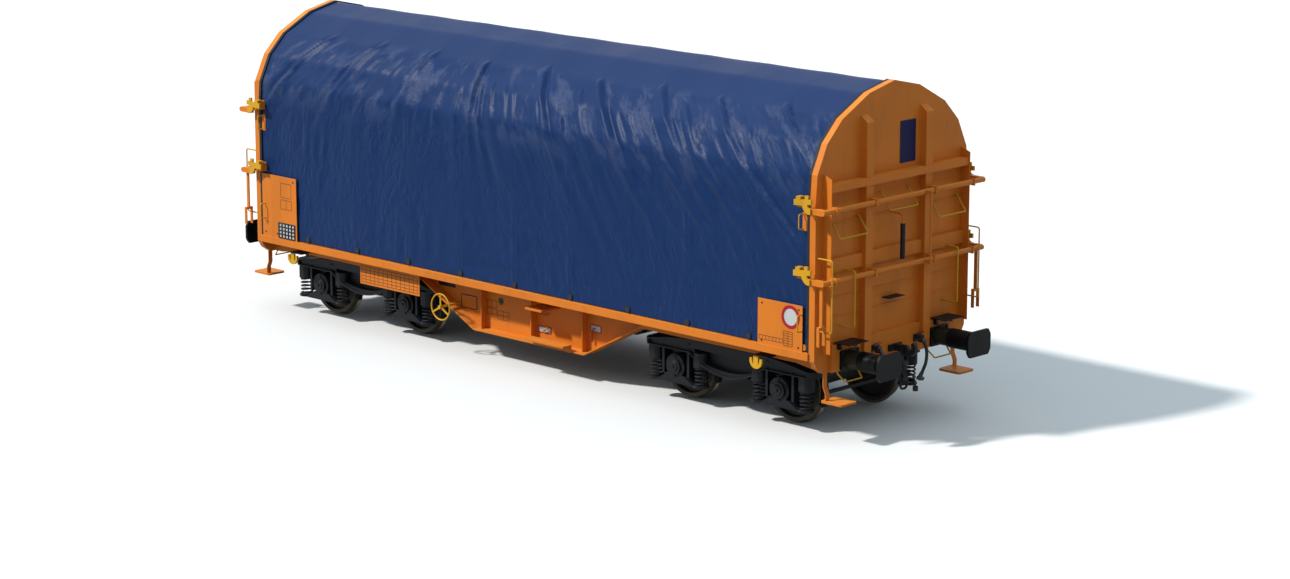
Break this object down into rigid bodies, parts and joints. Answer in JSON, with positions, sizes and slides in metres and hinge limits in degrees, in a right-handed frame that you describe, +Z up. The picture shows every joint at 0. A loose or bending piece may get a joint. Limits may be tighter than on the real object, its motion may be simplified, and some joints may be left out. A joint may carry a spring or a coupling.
{
  "type": "covered coil wagon",
  "caption": "Four-axle rail wagon for steel coils: orange fish-bellied frame, arched end walls and a blue tarpaulin hood on sliding bows.",
  "frame": {"origin": "below the wagon's middle, at the level of the wheel flanges' tips, on which it stands on a flat floor", "axes": "+X along the wagon to end a, +Y to its left, +Z up"},
  "size_m": [12.08, 3.176, 4.4059],
  "materials": {
    "wagon_orange": "satin paint",
    "safety_yellow": "satin paint",
    "black_paint": "worn satin paint",
    "bogie_black": "dusty satin paint",
    "brake_iron": "rough cast",
    "wheel_steel": "rolled and worn",
    "tarpaulin_blue": "coated cloth, half gloss",
    "bow_steel": "galvanised",
    "seal_rubber": "matt",
    "hose_rubber": "matt",
    "deck_grey": "scraped primer"
  },
  "bodies": {
    "wagon": {"air_couplings_a": "black_paint", "air_couplings_b": "black_paint", "air_hose_a": "hose_rubber", "air_hose_b": "hose_rubber", "bolsters": "wagon_orange", "brake_gear": "deck_grey", "brake_wheels": "safety_yellow", "buffers_a": "black_paint", "buffers_b": "black_paint", "coil_arms": "deck_grey", "corner_steps_a": "wagon_orange", "corner_steps_b": "wagon_orange", "cover_end_bow_b": "wagon_orange", "cover_tarpaulin": "tarpaulin_blue", "cross_members": "wagon_orange", "deck_edges": "wagon_orange", "draw_gear_a": "black_paint", "draw_gear_b": "black_paint", "end_frame_a": "wagon_orange", "end_frame_b": "wagon_orange", "end_seals": "seal_rubber", "end_wall_a": "wagon_orange", "end_wall_b": "wagon_orange", "handrails_a": "safety_yellow", "handrails_b": "safety_yellow", "headstock_a": "wagon_orange", "headstock_b": "wagon_orange", "load_bed": "deck_grey", "lock_bars_a": "wagon_orange", "lock_bars_b": "wagon_orange", "lock_claws_a": "safety_yellow", "lock_claws_b": "safety_yellow", "rope_hooks": "safety_yellow", "side_boards": "wagon_orange", "side_sill_left": "wagon_orange", "side_sill_right": "wagon_orange", "side_steps": "wagon_orange", "tread_plates_a": "black_paint", "tread_plates_b": "black_paint"},
    "bogie_a": {"bogie_frame_a": "bogie_black", "axleboxes_a": "bogie_black", "brake_blocks_a": "brake_iron"},
    "bogie_b": {"bogie_frame_b": "bogie_black", "axleboxes_b": "bogie_black", "brake_blocks_b": "brake_iron"},
    "wheelset_1": {"wheelset_1": "wheel_steel"},
    "wheelset_2": {"wheelset_2": "wheel_steel"},
    "wheelset_3": {"wheelset_3": "wheel_steel"},
    "wheelset_4": {"wheelset_4": "wheel_steel"},
    "hood_front": {"cover_end_bow_a": "wagon_orange"},
    "hood_bow_1": {"cover_bow_1": "bow_steel"},
    "hood_bow_2": {"cover_bow_2": "bow_steel"},
    "hood_bow_3": {"cover_bow_3": "bow_steel"},
    "hood_bow_4": {"cover_bow_4": "bow_steel"},
    "hood_bow_5": {"cover_bow_5": "bow_steel"},
    "hood_bow_6": {"cover_bow_6": "bow_steel"},
    "hood_bow_7": {"cover_bow_7": "bow_steel"},
    "hood_bow_8": {"cover_bow_8": "bow_steel"},
    "hood_bow_9": {"cover_bow_9": "bow_steel"}
  },
  "joints": [
    {"name": "bogie_a_swivel", "type": "hinge", "parent": "wagon", "child": "bogie_a", "pos_m": [3.5, 0, 0.9], "axis": [0, 0, 1], "range_deg": [-4, 4]},
    {"name": "bogie_b_swivel", "type": "hinge", "parent": "wagon", "child": "bogie_b", "pos_m": [-3.5, 0, 0.9], "axis": [0, 0, 1], "range_deg": [-4, 4]},
    {"name": "wheelset_1_spin", "type": "hinge", "parent": "bogie_a", "child": "wheelset_1", "pos_m": [4.4, 0, 0.488], "axis": [0, 1, 0], "continuous": true},
    {"name": "wheelset_2_spin", "type": "hinge", "parent": "bogie_a", "child": "wheelset_2", "pos_m": [2.6, 0, 0.488], "axis": [0, 1, 0], "continuous": true},
    {"name": "wheelset_3_spin", "type": "hinge", "parent": "bogie_b", "child": "wheelset_3", "pos_m": [-2.6, 0, 0.488], "axis": [0, 1, 0], "continuous": true},
    {"name": "wheelset_4_spin", "type": "hinge", "parent": "bogie_b", "child": "wheelset_4", "pos_m": [-4.4, 0, 0.488], "axis": [0, 1, 0], "continuous": true},
    {"name": "hood_slide", "type": "slide", "parent": "wagon", "child": "hood_front", "axis": [-1, 0, 0], "range_m": [0, 7.2], "deforming": ["cover_tarpaulin"]},
    {"name": "hood_bow_1_slide", "type": "slide", "parent": "wagon", "child": "hood_bow_1", "axis": [-1, 0, 0], "range_m": [0, 0.654]},
    {"name": "hood_bow_2_slide", "type": "slide", "parent": "wagon", "child": "hood_bow_2", "axis": [-1, 0, 0], "range_m": [0, 1.393]},
    {"name": "hood_bow_3_slide", "type": "slide", "parent": "wagon", "child": "hood_bow_3", "axis": [-1, 0, 0], "range_m": [0, 2.132]},
    {"name": "hood_bow_4_slide", "type": "slide", "parent": "wagon", "child": "hood_bow_4", "axis": [-1, 0, 0], "range_m": [0, 2.871]},
    {"name": "hood_bow_5_slide", "type": "slide", "parent": "wagon", "child": "hood_bow_5", "axis": [-1, 0, 0], "range_m": [0, 3.61]},
    {"name": "hood_bow_6_slide", "type": "slide", "parent": "wagon", "child": "hood_bow_6", "axis": [-1, 0, 0], "range_m": [0, 4.349]},
    {"name": "hood_bow_7_slide", "type": "slide", "parent": "wagon", "child": "hood_bow_7", "axis": [-1, 0, 0], "range_m": [0, 5.088]},
    {"name": "hood_bow_8_slide", "type": "slide", "parent": "wagon", "child": "hood_bow_8", "axis": [-1, 0, 0], "range_m": [0, 5.827]},
    {"name": "hood_bow_9_slide", "type": "slide", "parent": "wagon", "child": "hood_bow_9", "axis": [-1, 0, 0], "range_m": [0, 6.566]}
  ],
  "couplings": [
    {"joint": "hood_bow_1_slide", "follows": "hood_slide", "ratio": 0.089484},
    {"joint": "hood_bow_2_slide", "follows": "hood_slide", "ratio": 0.19211},
    {"joint": "hood_bow_3_slide", "follows": "hood_slide", "ratio": 0.29474},
    {"joint": "hood_bow_4_slide", "follows": "hood_slide", "ratio": 0.39737},
    {"joint": "hood_bow_5_slide", "follows": "hood_slide", "ratio": 0.5},
    {"joint": "hood_bow_6_slide", "follows": "hood_slide", "ratio": 0.60263},
    {"joint": "hood_bow_7_slide", "follows": "hood_slide", "ratio": 0.70526},
    {"joint": "hood_bow_8_slide", "follows": "hood_slide", "ratio": 0.80789},
    {"joint": "hood_bow_9_slide", "follows": "hood_slide", "ratio": 0.91052}
  ]
}
